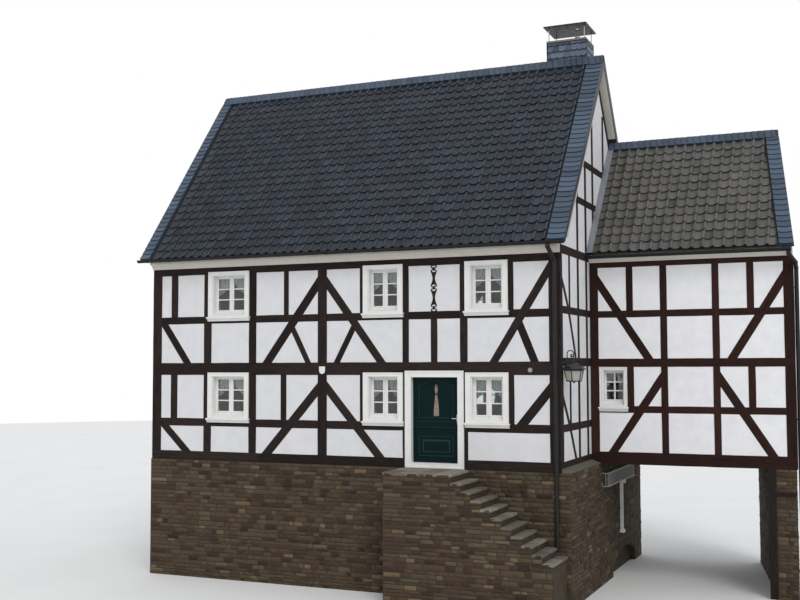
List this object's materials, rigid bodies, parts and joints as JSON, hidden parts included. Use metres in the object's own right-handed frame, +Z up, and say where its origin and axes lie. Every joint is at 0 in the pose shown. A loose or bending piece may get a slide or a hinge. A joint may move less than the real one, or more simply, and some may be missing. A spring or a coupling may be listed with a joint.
{
  "type": "half timbered house",
  "caption": "Half timbered house on a rubble stone base, with a pantile roof, slate verges, a hinged front door and a wing bridging a driveway.",
  "frame": {"origin": "on the underside of the stone base, below the front right corner of the main house's timber frame, at the lowest ground level", "axes": "+X to the right along the front, +Y from the front into the house, +Z up"},
  "size_m": [16.068, 9.25, 14.2771],
  "materials": {
    "timber": "dark stained rough oak",
    "plaster": "trowelled lime plaster, off-white",
    "rubble": "brown-grey rubble masonry",
    "slate": "blue-grey natural slate",
    "pantile": "anthracite clay pantiles",
    "old_pantile": "weathered brown-grey clay pantiles",
    "white_paint": "white painted boards",
    "pale_wood": "pale turned wood",
    "door_paint": "dark green painted boards",
    "floor_board": "plain floor boards",
    "dark_metal": "dark painted metal",
    "lead": "dark grey sheet",
    "handle_metal": "plain metal",
    "glass": "clear window glass"
  },
  "bodies": {
    "house": {"base_front_wall": "rubble", "base_back_wall": "rubble", "base_left_wall": "rubble", "base_right_wall": "rubble", "base_ledge": "slate", "base_grille": "dark_metal", "base_strut": "white_paint", "entrance_steps": "rubble", "ground_floor": "floor_board", "upper_floor": "floor_board", "attic_floor": "floor_board", "front_frame_upper": "timber", "front_frame_ground_left": "timber", "front_frame_ground_right": "timber", "front_infill_upper": "plaster", "front_infill_ground_left": "plaster", "front_infill_ground_right": "plaster", "carved_post": "timber", "right_gable_frame": "timber", "right_gable_infill": "plaster", "left_gable_frame": "timber", "left_gable_infill": "plaster", "back_frame": "timber", "back_infill": "plaster", "front_windows": "white_paint", "back_windows": "white_paint", "wing_windows": "white_paint", "window_glass": "glass", "door_frame": "white_paint", "door_pintles": "dark_metal", "roof_front": "pantile", "roof_back": "pantile", "ridge_slates": "slate", "verge_slates": "slate", "verge_soffits": "white_paint", "cornices": "white_paint", "gutters": "dark_metal", "downpipes": "dark_metal", "chimney_shaft": "slate", "chimney_cowl": "dark_metal", "wing_floor": "timber", "wing_front_frame": "timber", "wing_front_infill": "plaster", "wing_back_frame": "timber", "wing_back_infill": "plaster", "wing_end_wall": "plaster", "wing_pier_frame": "timber", "wing_pier_masonry": "rubble", "wing_roof_front": "old_pantile", "wing_roof_back": "old_pantile", "wing_flashing": "lead", "wall_lantern": "dark_metal", "lantern_glass": "glass"},
    "door": {"front_door": "door_paint", "door_hinges": "dark_metal", "door_handle": "handle_metal", "door_ornament": "pale_wood"}
  },
  "joints": [
    {"name": "front_door_hinge", "type": "hinge", "parent": "house", "child": "door", "pos_m": [-3.651, 0.186, 4.1], "axis": [0, 0, 1], "range_deg": [0, 90]}
  ]
}
